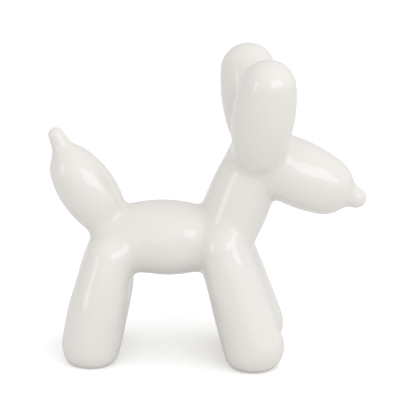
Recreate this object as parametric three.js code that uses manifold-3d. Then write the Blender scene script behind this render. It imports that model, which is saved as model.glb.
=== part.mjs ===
// Balloon dog ornament of glazed ceramic, one hollow casting modelled by its outer surface.
// Millimetres, +Z up. The dog looks along +X, its right side faces -Y and it stands on z = 0.
//
// Every balloon section is a lobe: a sphere that runs along a straight axis while its radius
// swells and shrinks. The lobes melt into one another at soft creases, as slip and glaze fill
// the twists of a balloon animal. The blended surface is meshed on a cubic grid, and the feet
// are ground flat at the end.

import * as THREE from "three";
import { mergeVertices } from "three/addons/utils/BufferGeometryUtils.js";
import Module from "manifold-3d";

const wasm = await Module();
wasm.setup();

// Driving sizes
const LENGTH = 190; // tail tip to nose tip, along X
const FOOT_GRINDING = 0.4; // ground off each foot so that it stands flat
const GLAZE_COLOUR = 0xe4e2db;
const GLAZE_ROUGHNESS = 0.12;

// The pose, the girths and the softness of the creases are shares of LENGTH.
const CREASE_BLEND = 0.0376;
const SHOULDER_BLEND = 0.0565;
const HIP_BLEND = 0.0892;
const EAR_BLEND = 0.0415;
const PAIR_BLEND = 0.0209;
const TIP_BLEND = 0.0409;
const FOOT_BLEND = 0.0274;

// Fineness of the mesh: one cell of its grid, and how often it is evened out and settled
const CELL = 0.0232;
const RELAXING_ROUNDS = 4;
const SETTLING_STEPS = 3;
const NEAREST_SPHERE_ROUNDS = 5;
const GROUND_BAND = 0.06; // vertices nearer to the ground than this share of a cell lie on it

const RIGHT = -1;
const LEFT = 1;

const clamp01 = (value) => THREE.MathUtils.clamp(value, 0, 1);

function at(x, y, z) {
  return new THREE.Vector3(x, y, z).multiplyScalar(LENGTH);
}

// The point a share of LENGTH away from another, at an angle above +X in the plane of symmetry
function along(start, degrees, share) {
  const angle = THREE.MathUtils.degToRad(degrees);
  return at(Math.cos(angle) * share, 0, Math.sin(angle) * share).add(start);
}

// A lobe between two places, with the shares of its radius at the root, the middle and the tip.
// Its distance function finds the nearest sphere of the swept row by a few fixed-point rounds.
function lobe(root, tip, radii) {
  const [atRoot, atMiddle, atTip] = radii.map((share) => share * LENGTH);
  const bend = 2 * (atRoot + atTip - 2 * atMiddle);
  const slope = atTip - atRoot - bend;
  const axis = new THREE.Vector3().subVectors(tip, root);
  const length = axis.length();
  axis.normalize();

  function distance(place) {
    const fromRoot = new THREE.Vector3().subVectors(place, root);
    const run = fromRoot.dot(axis);
    const offAxis2 = Math.max(fromRoot.lengthSq() - run * run, 0);
    let share = clamp01(run / length);
    let reach = Math.sqrt(offAxis2 + (run - share * length) ** 2);
    for (let round = 0; round < NEAREST_SPHERE_ROUNDS; round++) {
      share = clamp01(run / length + ((slope + 2 * bend * share) * reach) / length ** 2);
      reach = Math.sqrt(offAxis2 + (run - share * length) ** 2);
    }
    return reach - (atRoot + slope * share + bend * share * share);
  }

  const box = new THREE.Box3().setFromPoints([root, tip]);
  return { distance, box: box.expandByScalar(Math.max(atRoot, atMiddle, atTip)) };
}

// Joins two distances into one, rounded where they are closer to each other than the width
function blended(a, b, width) {
  const closeness = Math.max(width - Math.abs(a - b), 0) / width;
  return Math.min(a, b) - (closeness ** 3 * width) / 6;
}

// Two forms melted into one, with a crease whose softness is a share of LENGTH
function melted(share, one, other) {
  const width = share * LENGTH;
  const distance = (place) => blended(one.distance(place), other.distance(place), width);
  return { distance, box: one.box.clone().union(other.box) };
}

// Points where the balloon is twisted, in the plane of symmetry
const HIP = at(-0.2761, 0, 0.3873);
const SHOULDER = at(0.0407, 0, 0.3841);
const NECK_ROOT = at(0.0381, 0, 0.3533);
const NAPE = at(0.1544, 0, 0.6621);

// The tail swells away from the hip and ends in the nipple of the balloon.
function tail() {
  const tip = along(HIP, 124.2, 0.2593);
  const nippleEnd = along(tip, 116, 0.1221);
  const bulb = lobe(HIP, tip, [0.0213, 0.0844, 0.0747]);
  const nipple = lobe(tip, nippleEnd, [0.0439, 0.0342, 0.0245]);
  return melted(TIP_BLEND, bulb, nipple);
}

// The snout droops from the nape and ends in the knot of the balloon.
function snout() {
  const tip = along(NAPE, -23.7, 0.2295);
  const knotEnd = along(tip, -21.2, 0.1109);
  const bulb = lobe(NAPE, tip, [0.083, 0.1046, 0.0924]);
  const knot = lobe(tip, knotEnd, [0.0424, 0.0372, 0.0321]);
  return melted(TIP_BLEND, bulb, knot);
}

function hindLeg(side) {
  const root = at(-0.3048, 0.0853 * side, 0.335);
  const foot = at(-0.3572, 0.1074 * side, 0.057);
  return lobe(root, foot, [0.0725, 0.092, 0.092]);
}

function frontLeg(side) {
  const root = at(0.0549, 0.0685 * side, 0.3737);
  const foot = at(0.157, 0.1101 * side, 0.0663);
  return lobe(root, foot, [0.0796, 0.0898, 0.0962]);
}

// The pair of ears is turned a little about the vertical, the right one forward.
function ear(side) {
  const root = at(0.1575, 0.0665 * side, 0.704);
  const tip = at(0.1502 - 0.0318 * side, 0.1194 * side, 0.9069);
  return lobe(root, tip, [0.0793, 0.0972, 0.0851]);
}

function pair(limb) {
  return melted(PAIR_BLEND, limb(RIGHT), limb(LEFT));
}

function hindquarters() {
  const body = lobe(HIP, SHOULDER, [0.0845, 0.1189, 0.0706]);
  const rump = melted(CREASE_BLEND, body, tail());
  return melted(HIP_BLEND, rump, pair(hindLeg));
}

function forequarters() {
  const neck = lobe(NECK_ROOT, NAPE, [0.0884, 0.102, 0.0839]);
  const shoulders = melted(SHOULDER_BLEND, neck, pair(frontLeg));
  const head = melted(CREASE_BLEND, shoulders, snout());
  return melted(EAR_BLEND, head, pair(ear));
}

const FIGURE = melted(CREASE_BLEND, hindquarters(), forequarters());

// Negative inside the dog. The feet spread a little where they press on the ground.
function dogSurface(place) {
  return -blended(-FIGURE.distance(place), place.z + FOOT_GRINDING, FOOT_BLEND * LENGTH);
}

// A box round every lobe, from the ground up, with room for two more cells on each side
function boxAroundDog(cell) {
  const box = FIGURE.box.clone();
  box.min.z = -FOOT_GRINDING;
  return box.expandByScalar(2 * cell);
}

// The corners of a cell, counted from its lowest corner, and the pairs that its edges join
const CORNERS = [0, 1, 2, 3, 4, 5, 6, 7].map((n) => [n & 1, (n >> 1) & 1, (n >> 2) & 1]);
const EDGES = CORNERS.flatMap((_, a) => [1, 2, 4].filter((bit) => !(a & bit)).map((bit) => [a, a | bit]));

class Grid {
  constructor(value, box, cell) {
    this.cell = cell;
    this.counts = box.getSize(new THREE.Vector3()).toArray().map((size) => Math.ceil(size / cell) + 1);
    const halfSize = new THREE.Vector3(...this.counts).subScalar(1).multiplyScalar(cell / 2);
    this.origin = box.getCenter(new THREE.Vector3()).sub(halfSize);
    this.values = new Float64Array(this.counts[0] * this.counts[1] * this.counts[2]);
    this.eachNode(([i, j, k]) => {
      this.values[this.index(i, j, k)] = value(this.place(i, j, k));
    });
  }

  index(i, j, k) {
    return i + this.counts[0] * (j + this.counts[1] * k);
  }

  place(i, j, k) {
    return new THREE.Vector3(i, j, k).multiplyScalar(this.cell).add(this.origin);
  }

  // Calls visit with the whole-number place of each node, or of each cell's lowest corner
  eachNode(visit, fewer = 0) {
    for (let k = 0; k < this.counts[2] - fewer; k++) {
      for (let j = 0; j < this.counts[1] - fewer; j++) {
        for (let i = 0; i < this.counts[0] - fewer; i++) visit([i, j, k]);
      }
    }
  }

  eachCell(visit) {
    this.eachNode(visit, 1);
  }

  cornerIndices([i, j, k]) {
    return CORNERS.map(([x, y, z]) => this.index(i + x, j + y, k + z));
  }
}

// Whether the marked corners of a cell hang together along its edges
function joined(marked) {
  const start = marked.indexOf(true);
  if (start < 0) return true;
  const reached = new Set([start]);
  for (const corner of reached) {
    for (const [a, b] of EDGES) {
      if (a === corner && marked[b]) reached.add(b);
      if (b === corner && marked[a]) reached.add(a);
    }
  }
  return reached.size === marked.filter(Boolean).length;
}

// Closes gaps narrower than a cell, deep in the creases, so that no cell holds two sheets
function fillPinchedCells(grid) {
  let changed = true;
  while (changed) {
    changed = false;
    grid.eachCell((node) => {
      const corners = grid.cornerIndices(node);
      const inside = corners.map((corner) => grid.values[corner] < 0);
      const outside = inside.map((isInside) => !isInside);
      if (joined(inside) && joined(outside)) return;
      const outer = corners.filter((corner) => grid.values[corner] >= 0);
      outer.sort((a, b) => grid.values[a] - grid.values[b]);
      grid.values[outer[0]] = -0.01 * grid.cell;
      changed = true;
    });
  }
}

// One vertex in each cell that the surface crosses, at the mean of its edges' crossings
function cellVertices(grid) {
  const vertexOfCell = new Map();
  const places = [];
  grid.eachCell((node) => {
    const values = grid.cornerIndices(node).map((corner) => grid.values[corner]);
    const crossings = [];
    for (const [a, b] of EDGES) {
      if (values[a] < 0 === values[b] < 0) continue;
      const share = values[a] / (values[a] - values[b]);
      const from = new THREE.Vector3(...CORNERS[a]);
      crossings.push(from.lerp(new THREE.Vector3(...CORNERS[b]), share));
    }
    if (crossings.length === 0) return;
    const mean = new THREE.Vector3();
    for (const crossing of crossings) mean.addScaledVector(crossing, 1 / crossings.length);
    vertexOfCell.set(grid.index(...node), places.length);
    places.push(mean.multiplyScalar(grid.cell).add(grid.place(...node)));
  });
  return { vertexOfCell, places };
}

// One quad across each grid edge that the surface cuts, facing out of the dog
function edgeQuads(grid, vertexOfCell) {
  const quads = [];
  grid.eachNode((node) => {
    const here = grid.values[grid.index(...node)] < 0;
    for (let axis = 0; axis < 3; axis++) {
      const next = [...node];
      next[axis] += 1;
      if (next[axis] >= grid.counts[axis]) continue;
      if (here === grid.values[grid.index(...next)] < 0) continue;
      const around = [[0, 0], [-1, 0], [-1, -1], [0, -1]].map(([b, c]) => {
        const cell = [...node];
        cell[(axis + 1) % 3] += b;
        cell[(axis + 2) % 3] += c;
        return vertexOfCell.get(grid.index(...cell));
      });
      quads.push(here ? around : around.reverse());
    }
  });
  return quads;
}

// Direction in which the value grows, times its growth per millimetre
function slopeAt(value, place, step) {
  const slope = new THREE.Vector3();
  for (const axis of ["x", "y", "z"]) {
    const ahead = place.clone();
    const behind = place.clone();
    ahead[axis] += step;
    behind[axis] -= step;
    slope[axis] = (value(ahead) - value(behind)) / (2 * step);
  }
  return slope;
}

// Moves a place onto the surface, by no more than one cell in each step
function settle(value, place, cell) {
  for (let step = 0; step < SETTLING_STEPS; step++) {
    const slope = slopeAt(value, place, 0.001 * cell);
    const move = slope.multiplyScalar(-value(place) / slope.lengthSq());
    place.add(move.clampLength(0, cell));
  }
}

function neighboursOf(quads, count) {
  const neighbours = Array.from({ length: count }, () => new Set());
  for (const quad of quads) {
    quad.forEach((vertex, n) => {
      const next = quad[(n + 1) % 4];
      neighbours[vertex].add(next);
      neighbours[next].add(vertex);
    });
  }
  return neighbours;
}

// Evens out the mesh along the surface and settles it back after each round
function relax(value, places, quads, cell) {
  const neighbours = neighboursOf(quads, places.length);
  for (const place of places) settle(value, place, cell);
  for (let round = 0; round < RELAXING_ROUNDS; round++) {
    const means = neighbours.map((around) => {
      const mean = new THREE.Vector3();
      for (const other of around) mean.addScaledVector(places[other], 1 / around.size);
      return mean;
    });
    places.forEach((place, n) => {
      place.lerp(means[n], 0.5);
      settle(value, place, cell);
    });
  }
}

// Two triangles of each quad, split along its shorter diagonal
function triangulated(places, quads) {
  const triangles = quads.flatMap(([a, b, c, d]) => {
    const acShorter = places[a].distanceTo(places[c]) < places[b].distanceTo(places[d]);
    return acShorter ? [a, b, c, a, c, d] : [a, b, d, b, c, d];
  });
  const geometry = new THREE.BufferGeometry().setFromPoints(places);
  geometry.setIndex(triangles);
  return geometry;
}

function meshSurface(value, box, cell) {
  const grid = new Grid(value, box, cell);
  fillPinchedCells(grid);
  const { vertexOfCell, places } = cellVertices(grid);
  const quads = edgeQuads(grid, vertexOfCell);
  relax(value, places, quads, cell);
  return triangulated(places, quads);
}

function solid(geometry) {
  geometry.deleteAttribute("normal");
  geometry.deleteAttribute("uv");
  const merged = mergeVertices(geometry);
  const vertProperties = merged.attributes.position.array;
  const triVerts = new Uint32Array(merged.index.array);
  return new wasm.Manifold(new wasm.Mesh({ numProp: 3, vertProperties, triVerts }));
}

function geometryOf(manifold) {
  const mesh = manifold.getMesh();
  const geometry = new THREE.BufferGeometry();
  geometry.setAttribute("position", new THREE.BufferAttribute(mesh.vertProperties, 3));
  geometry.setIndex(new THREE.BufferAttribute(mesh.triVerts, 1));
  geometry.computeVertexNormals();
  return geometry;
}

// Lays the vertices that almost touch the ground on it, so that grinding leaves no slivers
function layOnGround(geometry, band) {
  const { position } = geometry.attributes;
  for (let n = 0; n < position.count; n++) {
    if (Math.abs(position.getZ(n)) < band) position.setZ(n, 0);
  }
}

// The grinding stone: all that reaches below the ground is taken off
function grindingStone() {
  const stone = new THREE.BoxGeometry(2 * LENGTH, 2 * LENGTH, LENGTH);
  return stone.translate(0, 0, -LENGTH / 2);
}

// Middle of the dog's length along X, which is put over the origin
function midLength(geometry) {
  geometry.computeBoundingBox();
  return geometry.boundingBox.getCenter(new THREE.Vector3()).x;
}

function balloonDog() {
  const cell = CELL * LENGTH;
  const casting = meshSurface(dogSurface, boxAroundDog(cell), cell);
  layOnGround(casting, GROUND_BAND * cell);
  const ground = solid(casting).subtract(solid(grindingStone()));
  const glaze = new THREE.MeshStandardMaterial({
    color: GLAZE_COLOUR,
    roughness: GLAZE_ROUGHNESS,
    metalness: 0,
  });
  const dog = new THREE.Mesh(geometryOf(ground), glaze);
  dog.name = "balloon_dog";
  dog.position.x = -midLength(dog.geometry);
  return dog;
}

const ornament = new THREE.Group();
ornament.add(balloonDog());

export default ornament;
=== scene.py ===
"""Looks of the balloon dog ornament: its fine glazed surface, the studio and the camera.

Metres, +Z up. The dog looks along +X, its right side faces -Y and it stands on z = 0.
"""

import math
from itertools import product

import bpy
import numpy as np
from mathutils import Matrix, Vector


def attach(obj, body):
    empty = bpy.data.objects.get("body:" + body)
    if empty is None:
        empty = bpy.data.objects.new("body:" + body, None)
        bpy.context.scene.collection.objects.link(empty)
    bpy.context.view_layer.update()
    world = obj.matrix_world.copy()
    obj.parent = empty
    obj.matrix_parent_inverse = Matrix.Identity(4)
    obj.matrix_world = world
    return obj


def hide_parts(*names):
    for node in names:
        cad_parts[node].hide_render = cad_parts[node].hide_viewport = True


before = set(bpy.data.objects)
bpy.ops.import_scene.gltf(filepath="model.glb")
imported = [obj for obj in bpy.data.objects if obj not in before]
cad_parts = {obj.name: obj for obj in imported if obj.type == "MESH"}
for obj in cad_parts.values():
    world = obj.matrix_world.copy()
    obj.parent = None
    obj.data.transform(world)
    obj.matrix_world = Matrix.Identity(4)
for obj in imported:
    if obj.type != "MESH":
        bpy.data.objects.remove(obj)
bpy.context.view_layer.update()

# Driving sizes
LENGTH = 0.190  # tail tip to nose tip, along X
FOOT_GRINDING = 0.0004  # ground off each foot so that it stands flat

# The pose, the girths and the softness of the creases are shares of LENGTH.
CREASE_BLEND = 0.0376
SHOULDER_BLEND = 0.0565
HIP_BLEND = 0.0892
EAR_BLEND = 0.0415
PAIR_BLEND = 0.0209
TIP_BLEND = 0.0409
FOOT_BLEND = 0.0274

# Fineness of the mesh: one cell of its grid, and how often it is evened out and settled
CELL = 0.0012
RELAXING_ROUNDS = 3
SETTLING_STEPS = 2
NEAREST_SPHERE_ROUNDS = 5
PROBE_STEP = 0.001 * CELL  # to each side of a place where the slope is read
JUST_INSIDE = -0.01 * CELL
SMALLEST_MOVE = 1e-12
ON_GROUND = 1e-6

RIGHT = -1
LEFT = 1


def at(x, y, z):
    return np.array([x, y, z]) * LENGTH


def along(start, degrees, share):
    """The point a share of LENGTH away from another, at an angle above +X in the plane of symmetry."""
    angle = math.radians(degrees)
    return start + at(math.cos(angle) * share, 0, math.sin(angle) * share)


def blended(a, b, width):
    """Joins two distances into one, rounded where they are closer to each other than the width."""
    closeness = np.maximum(width - np.abs(a - b), 0) / width
    return np.minimum(a, b) - closeness**3 * width / 6


class Lobe:
    """A balloon section: a sphere that runs from root to tip while its radius swells and shrinks."""

    def __init__(self, root, tip, radii):
        self.root = root
        self.length = np.linalg.norm(tip - root)
        self.axis = (tip - root) / self.length
        self.at_root, at_middle, at_tip = np.array(radii) * LENGTH
        self.bend = 2 * (self.at_root + at_tip - 2 * at_middle)
        self.slope = at_tip - self.at_root - self.bend

    def distance(self, places):
        """Distance from the nearest sphere of the swept row, found by a few fixed-point rounds."""
        from_root = places - self.root
        run = from_root @ self.axis
        off_axis2 = np.maximum(np.einsum("...i,...i", from_root, from_root) - run**2, 0)
        share = np.clip(run / self.length, 0, 1)
        reach = np.sqrt(off_axis2 + (run - share * self.length) ** 2)
        for _ in range(NEAREST_SPHERE_ROUNDS):
            growth = (self.slope + 2 * self.bend * share) * reach
            share = np.clip(run / self.length + growth / self.length**2, 0, 1)
            reach = np.sqrt(off_axis2 + (run - share * self.length) ** 2)
        return reach - (self.at_root + self.slope * share + self.bend * share**2)

    def sharp_distance(self, places):
        """A single lobe has no crease."""
        return self.distance(places)


class Melted:
    """Two forms melted into one, with a crease whose softness is a share of LENGTH."""

    def __init__(self, share, one, other):
        self.width = share * LENGTH
        self.one = one
        self.other = other

    def distance(self, places):
        return blended(self.one.distance(places), self.other.distance(places), self.width)

    def sharp_distance(self, places):
        """The same two forms with no softness in any crease."""
        return np.minimum(self.one.sharp_distance(places), self.other.sharp_distance(places))


# Where the balloon is twisted, in the plane of symmetry. The neck begins just under the body's end.
HIP = at(-0.2761, 0, 0.3873)
SHOULDER = at(0.0407, 0, 0.3841)
NECK_ROOT = at(0.0381, 0, 0.3533)
NAPE = at(0.1544, 0, 0.6621)


def tail():
    """The tail swells away from the hip and ends in the nipple of the balloon."""
    tip = along(HIP, 124.2, 0.2593)
    nipple_end = along(tip, 116, 0.1221)
    bulb = Lobe(HIP, tip, [0.0213, 0.0844, 0.0747])
    nipple = Lobe(tip, nipple_end, [0.0439, 0.0342, 0.0245])
    return Melted(TIP_BLEND, bulb, nipple)


def snout():
    """The snout droops from the nape and ends in the knot of the balloon."""
    tip = along(NAPE, -23.7, 0.2295)
    knot_end = along(tip, -21.2, 0.1109)
    bulb = Lobe(NAPE, tip, [0.083, 0.1046, 0.0924])
    knot = Lobe(tip, knot_end, [0.0424, 0.0372, 0.0321])
    return Melted(TIP_BLEND, bulb, knot)


def hind_leg(side):
    root = at(-0.3048, 0.0853 * side, 0.335)
    foot = at(-0.3572, 0.1074 * side, 0.057)
    return Lobe(root, foot, [0.0725, 0.092, 0.092])


def front_leg(side):
    root = at(0.0549, 0.0685 * side, 0.3737)
    foot = at(0.157, 0.1101 * side, 0.0663)
    return Lobe(root, foot, [0.0796, 0.0898, 0.0962])


def ear(side):
    """The pair of ears is turned a little about the vertical, the right one forward."""
    root = at(0.1575, 0.0665 * side, 0.704)
    tip = at(0.1502 - 0.0318 * side, 0.1194 * side, 0.9069)
    return Lobe(root, tip, [0.0793, 0.0972, 0.0851])


def pair(limb):
    return Melted(PAIR_BLEND, limb(RIGHT), limb(LEFT))


def hindquarters():
    body = Lobe(HIP, SHOULDER, [0.0845, 0.1189, 0.0706])
    rump = Melted(CREASE_BLEND, body, tail())
    return Melted(HIP_BLEND, rump, pair(hind_leg))


def forequarters():
    neck = Lobe(NECK_ROOT, NAPE, [0.0884, 0.102, 0.0839])
    shoulders = Melted(SHOULDER_BLEND, neck, pair(front_leg))
    head = Melted(CREASE_BLEND, shoulders, snout())
    return Melted(EAR_BLEND, head, pair(ear))


FIGURE = Melted(CREASE_BLEND, hindquarters(), forequarters())


def dog_surface(places):
    """Negative inside the dog. The feet spread a little where they press on the ground."""
    above_ground = places[..., 2] + FOOT_GRINDING
    return -blended(-FIGURE.distance(places), above_ground, FOOT_BLEND * LENGTH)


CREASE_DEPTH = CREASE_BLEND * LENGTH / 6  # what softness adds where two lobes meet
STRONGEST_CREASE_SHADE = 1.5


# Painted shade: the deeper a place lies in a crease, the more its glaze colour is darkened, standing
# in for the shade that falls there.
def crease_fill(places):
    """How much shade is painted into the creases: 0 on the open lobes, near 1 where two meet."""
    shade_in_crease = FIGURE.sharp_distance(places) - FIGURE.distance(places)
    return np.clip(shade_in_crease / CREASE_DEPTH, 0, STRONGEST_CREASE_SHADE)


# The corners of a grid cell, counted from its lowest corner, and the pairs that its edges join
CORNERS = np.array([[n & 1, n >> 1 & 1, n >> 2 & 1] for n in range(8)])
EDGES = [(a, a | bit) for a, bit in product(range(8), (1, 2, 4)) if not a & bit]


# Opposite corners of a box that holds the dog, and how many cells the grid goes past it
ROOM_LOW = at(-0.5, -0.22, 0)
ROOM_HIGH = at(0.5, 0.22, 1.03)
MARGIN_CELLS = 2


def grid_places():
    """Nodes of a cubic grid round the dog, the same on both sides of its plane of symmetry."""
    low = np.floor(ROOM_LOW / CELL) - MARGIN_CELLS
    high = np.ceil(ROOM_HIGH / CELL) + MARGIN_CELLS
    axes = [CELL * np.arange(low[axis], high[axis] + 1) for axis in range(3)]
    return np.stack(np.meshgrid(*axes, indexing="ij"), axis=-1)


def joined(marked):
    """Whether the marked corners of a cell hang together along its edges."""
    reached = set(list(marked)[:1])
    grown = True
    while grown:
        grown = False
        for a, b in EDGES:
            if a in marked and b in marked and (a in reached) != (b in reached):
                reached |= {a, b}
                grown = True
    return len(reached) == len(marked)


def pinched_patterns():
    """Which of the 256 patterns of inside corners hold two separate sheets of the surface."""
    patterns = []
    for code in range(256):
        inside = {n for n in range(8) if code >> n & 1}
        patterns.append(not (joined(inside) and joined(set(range(8)) - inside)))
    return np.array(patterns)


def corner_values(values, cells):
    return np.stack([values[tuple((cells + corner).T)] for corner in CORNERS], axis=1)


def crossed_cells(values):
    """The cells that hold corners on both sides of the surface."""
    inside = values < 0
    sizes = [size - 1 for size in values.shape]
    count = np.zeros(sizes, dtype=int)
    for x, y, z in CORNERS:
        count += inside[x : x + sizes[0], y : y + sizes[1], z : z + sizes[2]]
    return np.argwhere((count > 0) & (count < 8))


def fill_pinched_cells(values):
    """Closes gaps narrower than a cell, deep in the creases, so that no cell holds two sheets."""
    patterns = pinched_patterns()
    while True:
        cells = crossed_cells(values)
        corners = corner_values(values, cells)
        codes = ((corners < 0) << np.arange(8)).sum(axis=1)
        pinched = patterns[codes]
        if not pinched.any():
            return cells
        outer = np.where(corners[pinched] < 0, np.inf, corners[pinched]).argmin(axis=1)
        values[tuple((cells[pinched] + CORNERS[outer]).T)] = JUST_INSIDE


def cell_vertices(values, cells, origin):
    """One vertex in each crossed cell, at the mean of its edges' crossings."""
    corners = corner_values(values, cells)
    total = np.zeros((len(cells), 3))
    count = np.zeros(len(cells))
    for a, b in EDGES:
        crossed = (corners[:, a] < 0) != (corners[:, b] < 0)
        share = corners[crossed, a] / (corners[crossed, a] - corners[crossed, b])
        total[crossed] += CORNERS[a] + share[:, None] * (CORNERS[b] - CORNERS[a])
        count[crossed] += 1
    return origin + CELL * (cells + total / count[:, None])


# The four cells round a grid edge, in order round it, as steps along the other two axes
ROUND_AN_EDGE = ((0, 0), (-1, 0), (-1, -1), (0, -1))


def edge_quads(values, cells):
    """One quad across each grid edge that the surface cuts, facing out of the dog."""
    vertex_of_cell = np.full(values.shape, -1)
    vertex_of_cell[tuple(cells.T)] = np.arange(len(cells))
    inside = values < 0
    quads = []
    for axis in range(3):
        here = np.moveaxis(inside, axis, 0)
        found = np.argwhere(here[:-1] != here[1:])
        nodes = np.empty_like(found)
        others = [other for other in range(3) if other != axis]
        nodes[:, axis] = found[:, 0]
        nodes[:, others[0]] = found[:, 1]
        nodes[:, others[1]] = found[:, 2]
        around = []
        for b, c in ROUND_AN_EDGE:
            cell = nodes.copy()
            cell[:, (axis + 1) % 3] += b
            cell[:, (axis + 2) % 3] += c
            around.append(vertex_of_cell[tuple(cell.T)])
        around = np.stack(around, axis=1)
        leaving = inside[tuple(nodes.T)]
        around[~leaving] = around[~leaving][:, ::-1]
        quads.append(around)
    return np.concatenate(quads)


def slope_at(places):
    """Direction in which the distance to the surface grows, times its growth per metre."""
    slope = np.empty_like(places)
    for axis in range(3):
        shift = np.zeros(3)
        shift[axis] = PROBE_STEP
        rise = dog_surface(places + shift) - dog_surface(places - shift)
        slope[:, axis] = rise / (2 * PROBE_STEP)
    return slope


def settle(places):
    """Moves places onto the surface, by no more than one cell in each step."""
    for _ in range(SETTLING_STEPS):
        slope = slope_at(places)
        move = slope * (-dog_surface(places) / np.einsum("ij,ij->i", slope, slope))[:, None]
        size = np.linalg.norm(move, axis=1, keepdims=True)
        places = places + move * np.minimum(1, CELL / np.maximum(size, SMALLEST_MOVE))
    return places


def neighbour_mean(places, quads):
    """The mean place of each vertex's neighbours along the edges of the quads."""
    total = np.zeros_like(places)
    count = np.zeros(len(places))
    for n in range(4):
        start, end = quads[:, n], quads[:, (n + 1) % 4]
        for here, there in ((start, end), (end, start)):
            for axis in range(3):
                total[:, axis] += np.bincount(here, places[there, axis], len(places))
            count += np.bincount(here, minlength=len(places))
    return total / count[:, None]


def relax(places, quads):
    """Evens out the mesh along the surface and settles it back after each round."""
    places = settle(places)
    for _ in range(RELAXING_ROUNDS):
        places = settle(0.5 * (places + neighbour_mean(places, quads)))
    return places


# Shallow waves that casting and glazing leave: direction, wave length and depth in metres, and phase
WAVES = [
    ((0.8, 0.3, 0.52), 0.031, 0.00006, 0.4),
    ((-0.35, 0.82, 0.45), 0.024, 0.00005, 2.1),
    ((0.5, -0.45, 0.74), 0.019, 0.00004, 4.0),
    ((0.15, 0.62, -0.77), 0.014, 0.000025, 5.3),
]


def waviness(places):
    height = np.zeros(len(places))
    for direction, wave_length, depth, phase in WAVES:
        run = places @ np.array(direction)
        height += depth * np.sin(2 * np.pi * run / wave_length + phase)
    return height


def waved(places):
    """The settled surface with its shallow waves, ground flat under the feet."""
    slope = slope_at(places)
    outward = slope / np.linalg.norm(slope, axis=1, keepdims=True)
    places = places + outward * waviness(places)[:, None]
    places[:, 2] = np.maximum(places[:, 2], 0)
    return places


def dog_mesh():
    """The whole casting as a closed mesh of quads, with the share of painted crease shade on its
    vertices.
    """
    nodes = grid_places()
    values = dog_surface(nodes)
    cells = fill_pinched_cells(values)
    quads = edge_quads(values, cells)
    settled = relax(cell_vertices(values, cells, nodes[0, 0, 0]), quads)
    places = waved(settled)
    places[:, 0] -= (places[:, 0].min() + places[:, 0].max()) / 2
    mesh = bpy.data.meshes.new("glazed_dog")
    mesh.from_pydata(places.tolist(), [], quads.tolist())
    mesh.shade_smooth()
    # Painted shade: each vertex carries how much the glaze is darkened in the creases.
    shade_in_crease = mesh.attributes.new("crease_fill", "FLOAT", "POINT")
    shade_in_crease.data.foreach_set("value", crease_fill(settled).astype(np.float32))
    under_foot = (places[quads][:, :, 2] < ON_GROUND).all(axis=1)
    mesh.polygons.foreach_set("material_index", under_foot.astype(np.int32))
    return mesh


def new_material(name):
    """A node material with a Principled shader, and a function that adds linked nodes to it."""
    material = bpy.data.materials.new(name)
    material.use_nodes = True
    tree = material.node_tree
    shader = tree.nodes["Principled BSDF"]

    def add(kind, settings=(), links=()):
        node = tree.nodes.new(kind)
        for key, value in dict(settings).items():
            if key in node.inputs:
                node.inputs[key].default_value = value
            else:
                setattr(node, key, value)
        for key, source in dict(links).items():
            tree.links.new(source, node.inputs[key])
        return node

    return material, tree, shader, add


def colour_ramp(add, source, stops):
    """A ramp from one colour to the next over the places given."""
    node = add("ShaderNodeValToRGB", links={"Fac": source})
    elements = node.color_ramp.elements
    for element, (place, colour) in zip(elements, stops):
        element.position = place
        element.color = (*colour, 1)
    return node.outputs["Color"]


# Colours of the glaze, of the glaze darkened as painted shade in the creases, and of the clay under it
GLAZE_LIGHT = (0.752, 0.723, 0.684)
GLAZE_WARM = (0.742, 0.711, 0.668)
# Painted shade: the darker glaze colour used deep in the creases.
GLAZE_PAINTED_SHADE = (0.69, 0.648, 0.594)
BISQUE_LIGHT = (0.70, 0.65, 0.56)
BISQUE_DARK = (0.60, 0.54, 0.45)

# Patterns in the glaze, with scales in cells per metre: clouds of tone, painted shade in the creases,
# gloss and orange-peel
CLOUDS = {"Scale": 22.0, "Detail": 1.0, "Roughness": 0.4}
LIGHT_UP_TO = 0.2
WARM_FROM = 0.8
CREASE_SHADING = {"From Min": 0.1, "From Max": 1.4, "To Max": 0.25, "interpolation_type": "SMOOTHSTEP"}
BREATH = {"Scale": 90.0, "Detail": 3.0}
GLOSS = {"To Min": 0.01, "To Max": 0.025}
PEEL = {"Scale": 420.0, "Detail": 2.0, "Roughness": 0.4}
PEEL_RELIEF = {"Strength": 0.08, "Distance": 0.00004}
GLAZE_IOR = 1.5
COAT_IOR = 1.52
COAT_ROUGHNESS = 0.003

# The grain of the bare clay
GRAIN = {"Scale": 900.0, "Detail": 5.0, "Roughness": 0.7}
DARK_UP_TO = 0.3
PALE_FROM = 0.65
GRAIN_RELIEF = {"Strength": 0.5, "Distance": 0.0002}
CLAY_ROUGHNESS = 0.9

# The colour sockets of a mix node share their names with others, so they go by number.
MIX_SHARE = 0
MIX_FIRST = 6
MIX_SECOND = 7
MIX_RESULT = 2


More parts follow.
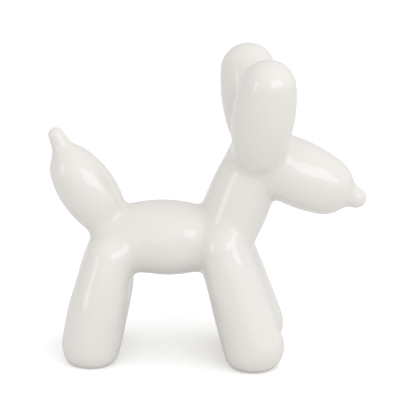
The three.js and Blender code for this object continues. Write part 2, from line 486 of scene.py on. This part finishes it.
def glaze_material():
    """A thick glossy glaze over a white body: faint clouds, and a darker colour painted into the
    creases as shade.
    """
    material, tree, shader, add = new_material("warm_white_glaze")
    place = add("ShaderNodeTexCoord").outputs["Object"]
    clouds = add("ShaderNodeTexNoise", CLOUDS, {"Vector": place})
    stops = [(LIGHT_UP_TO, GLAZE_LIGHT), (WARM_FROM, GLAZE_WARM)]
    tone = colour_ramp(add, clouds.outputs["Fac"], stops)
    # Painted shade: the crease share mixes the glaze towards its darker shaded colour.
    shade_in_crease = add("ShaderNodeAttribute", {"attribute_name": "crease_fill"})
    crease_shade_share = add("ShaderNodeMapRange", CREASE_SHADING, {"Value": shade_in_crease.outputs["Fac"]})
    colour = add("ShaderNodeMix", {"data_type": "RGBA"})
    tree.links.new(crease_shade_share.outputs["Result"], colour.inputs[MIX_SHARE])
    tree.links.new(tone, colour.inputs[MIX_FIRST])
    colour.inputs[MIX_SECOND].default_value = (*GLAZE_PAINTED_SHADE, 1)
    tree.links.new(colour.outputs[MIX_RESULT], shader.inputs["Base Color"])

    breath = add("ShaderNodeTexNoise", BREATH, {"Vector": place})
    roughness = add("ShaderNodeMapRange", GLOSS, {"Value": breath.outputs["Fac"]})
    tree.links.new(roughness.outputs["Result"], shader.inputs["Roughness"])

    peel = add("ShaderNodeTexNoise", PEEL, {"Vector": place})
    bump = add("ShaderNodeBump", PEEL_RELIEF, {"Height": peel.outputs["Fac"]})
    tree.links.new(bump.outputs["Normal"], shader.inputs["Normal"])
    tree.links.new(bump.outputs["Normal"], shader.inputs["Coat Normal"])
    shader.inputs["IOR"].default_value = GLAZE_IOR
    shader.inputs["Coat Weight"].default_value = 1.0
    shader.inputs["Coat Roughness"].default_value = COAT_ROUGHNESS
    shader.inputs["Coat IOR"].default_value = COAT_IOR
    return material


def bisque_material():
    """Bare fired clay under the feet, where the glaze was wiped off and the foot ground flat."""
    material, tree, shader, add = new_material("bare_clay")
    place = add("ShaderNodeTexCoord").outputs["Object"]
    grain = add("ShaderNodeTexNoise", GRAIN, {"Vector": place})
    stops = [(DARK_UP_TO, BISQUE_DARK), (PALE_FROM, BISQUE_LIGHT)]
    tone = colour_ramp(add, grain.outputs["Fac"], stops)
    tree.links.new(tone, shader.inputs["Base Color"])
    bump = add("ShaderNodeBump", GRAIN_RELIEF, {"Height": grain.outputs["Fac"]})
    tree.links.new(bump.outputs["Normal"], shader.inputs["Normal"])
    shader.inputs["Roughness"].default_value = CLAY_ROUGHNESS
    return material


def make_dog():
    dog = bpy.data.objects.new("glazed_dog", dog_mesh())
    bpy.context.scene.collection.objects.link(dog)
    dog.data.materials.append(glaze_material())
    dog.data.materials.append(bisque_material())
    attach(dog, "root")
    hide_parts("balloon_dog")


# The floor: half its side, its finish, how white the camera sees it, and how grey the one that
# lights the dog from underneath is and how high it lies
FLOOR_REACH = 30.0
FLOOR_ROUGHNESS = 0.9
FLOOR_SPECULAR = 0.1
FLOOR_WHITE = 0.95
FLOOR_GLOW = 0.2
FLOOR_BOUNCE = 0.78
BOUNCE_HEIGHT = -0.0005


def floor_material(name, grey):
    material, _, shader, _ = new_material(name)
    shader.inputs["Base Color"].default_value = (grey, grey, grey, 1)
    shader.inputs["Roughness"].default_value = FLOOR_ROUGHNESS
    shader.inputs["Specular IOR Level"].default_value = FLOOR_SPECULAR
    return material


def make_floor(name, height, grey):
    mesh = bpy.data.meshes.new(name)
    far = FLOOR_REACH
    corners = [(-far, -far), (far, -far), (far, far), (-far, far)]
    mesh.from_pydata([(x, y, height) for x, y in corners], [], [(0, 1, 2, 3)])
    mesh.materials.append(floor_material(name, grey))
    floor = bpy.data.objects.new(name, mesh)
    bpy.context.scene.collection.objects.link(floor)
    return floor


def make_floors():
    """The camera sees a white floor. A greyer one just below it lights the dog from underneath."""
    seen = make_floor("studio_floor", 0, FLOOR_WHITE)
    seen.visible_diffuse = False
    seen.visible_glossy = False
    seen.visible_shadow = False
    glow = seen.active_material.node_tree.nodes["Principled BSDF"]
    glow.inputs["Emission Color"].default_value = (1, 1, 1, 1)
    glow.inputs["Emission Strength"].default_value = FLOOR_GLOW
    bounce = make_floor("bounce_floor", BOUNCE_HEIGHT, FLOOR_BOUNCE)
    bounce.visible_camera = False


# The room's light at the horizon and overhead, the direction in which it dims, its factors on the
# bright and the dim side and where they hold, and the light of the backdrop that the camera sees
AT_HORIZON = 0.97
OVERHEAD = 1.16
DIM_SIDE = (-0.77, 0.64, 0)
BRIGHT_UP_TO = -1.0
DIM_FROM = 0.9
BRIGHTEST = 1.13
DIMMEST = 0.72
BACKDROP = 1.0


def make_world():
    """A soft room, brighter overhead and dimmer behind the tail, with a plain white backdrop."""
    world = bpy.data.worlds.new("studio")
    bpy.context.scene.world = world
    world.use_nodes = True
    tree = world.node_tree
    background = tree.nodes["Background"]
    place = tree.nodes.new("ShaderNodeTexCoord")
    axes = tree.nodes.new("ShaderNodeSeparateXYZ")
    room = tree.nodes.new("ShaderNodeMapRange")
    room.inputs["To Min"].default_value = AT_HORIZON
    room.inputs["To Max"].default_value = OVERHEAD
    facing = tree.nodes.new("ShaderNodeVectorMath")
    facing.operation = "DOT_PRODUCT"
    facing.inputs[1].default_value = DIM_SIDE
    dimming = tree.nodes.new("ShaderNodeMapRange")
    dimming.interpolation_type = "SMOOTHSTEP"
    dimming.inputs["From Min"].default_value = BRIGHT_UP_TO
    dimming.inputs["From Max"].default_value = DIM_FROM
    dimming.inputs["To Min"].default_value = BRIGHTEST
    dimming.inputs["To Max"].default_value = DIMMEST
    dimmed = tree.nodes.new("ShaderNodeMath")
    dimmed.operation = "MULTIPLY"
    path = tree.nodes.new("ShaderNodeLightPath")
    strength = tree.nodes.new("ShaderNodeMapRange")
    strength.inputs["To Max"].default_value = BACKDROP
    tree.links.new(place.outputs["Generated"], axes.inputs["Vector"])
    tree.links.new(axes.outputs["Z"], room.inputs["Value"])
    tree.links.new(place.outputs["Generated"], facing.inputs[0])
    tree.links.new(facing.outputs["Value"], dimming.inputs["Value"])
    tree.links.new(room.outputs["Result"], dimmed.inputs[0])
    tree.links.new(dimming.outputs["Result"], dimmed.inputs[1])
    tree.links.new(path.outputs["Is Camera Ray"], strength.inputs["Value"])
    tree.links.new(dimmed.outputs["Value"], strength.inputs["To Min"])
    tree.links.new(strength.outputs["Result"], background.inputs["Strength"])
    background.inputs["Color"].default_value = (1, 1, 1, 1)


def direction(azimuth, elevation):
    """Unit vector seen from the dog. Azimuth turns from -Y towards +X, both in degrees."""
    a = math.radians(azimuth)
    e = math.radians(elevation)
    return Vector((math.sin(a) * math.cos(e), -math.cos(a) * math.cos(e), math.sin(e)))


DOG_MIDDLE = Vector((0, 0, 0.1))
LAMP_DISTANCE = 1.8


def softbox(name, left, right, height, radiance, colour):
    """An upright area light facing the dog. Its edges' middles are given by azimuth and elevation."""
    left = DOG_MIDDLE + LAMP_DISTANCE * direction(*left)
    right = DOG_MIDDLE + LAMP_DISTANCE * direction(*right)
    across = right - left
    middle = (left + right) / 2
    width = across.length
    x_axis = across.normalized()
    y_axis = (Vector((0, 0, 1)) - x_axis * x_axis.z).normalized()
    z_axis = x_axis.cross(y_axis)
    if z_axis.dot(middle - DOG_MIDDLE) < 0:
        x_axis, z_axis = -x_axis, -z_axis
    data = bpy.data.lights.new(name, "AREA")
    data.shape = "RECTANGLE"
    data.size = width
    data.size_y = height
    data.color = colour
    data.energy = radiance * math.pi * width * height
    light = bpy.data.objects.new(name, data)
    rotation = Matrix((x_axis, y_axis, z_axis)).transposed().to_4x4()
    light.matrix_world = Matrix.Translation(middle) @ rotation
    light.visible_camera = False
    bpy.context.scene.collection.objects.link(light)


def make_lights():
    """A wide high lamp towards the nose and a narrow low one towards the tail, both on the right."""
    cool = (0.88, 0.94, 1.0)
    white = (1, 1, 1)
    softbox("key_softbox", left=(15.5, 28), right=(65, 28.5), height=0.9, radiance=1.04, colour=cool)
    softbox("side_strip", left=(-61, 13), right=(-44, 13), height=1.0, radiance=0.9, colour=white)


# The photo's camera, in degrees and metres, and its focal length in pixels
CAMERA_AZIMUTH = 1.455
CAMERA_ELEVATION = 17.253
CAMERA_ROLL = 0.944
CAMERA_TARGET = Vector((0.000593, 0, 0.09211))
CAMERA_DISTANCE = 1.0937
FOCAL_LENGTH = 1826
PICTURE_WIDTH = 416
SENSOR_WIDTH = 36  # millimetres


def make_camera():
    back = direction(CAMERA_AZIMUTH, CAMERA_ELEVATION)
    a = math.radians(CAMERA_AZIMUTH)
    r = math.radians(CAMERA_ROLL)
    level_right = Vector((math.cos(a), math.sin(a), 0))
    level_up = back.cross(level_right)
    right = level_right * math.cos(r) + level_up * math.sin(r)
    up = level_up * math.cos(r) - level_right * math.sin(r)
    data = bpy.data.cameras.new("camera")
    data.sensor_width = SENSOR_WIDTH
    data.lens = SENSOR_WIDTH * FOCAL_LENGTH / PICTURE_WIDTH
    camera = bpy.data.objects.new("camera", data)
    rotation = Matrix((right, up, back)).transposed().to_4x4()
    camera.matrix_world = Matrix.Translation(CAMERA_TARGET + back * CAMERA_DISTANCE) @ rotation
    bpy.context.scene.collection.objects.link(camera)
    bpy.context.scene.camera = camera


make_camera()
make_world()
make_lights()
make_floors()
make_dog()
bpy.context.scene.view_settings.view_transform = "Standard"
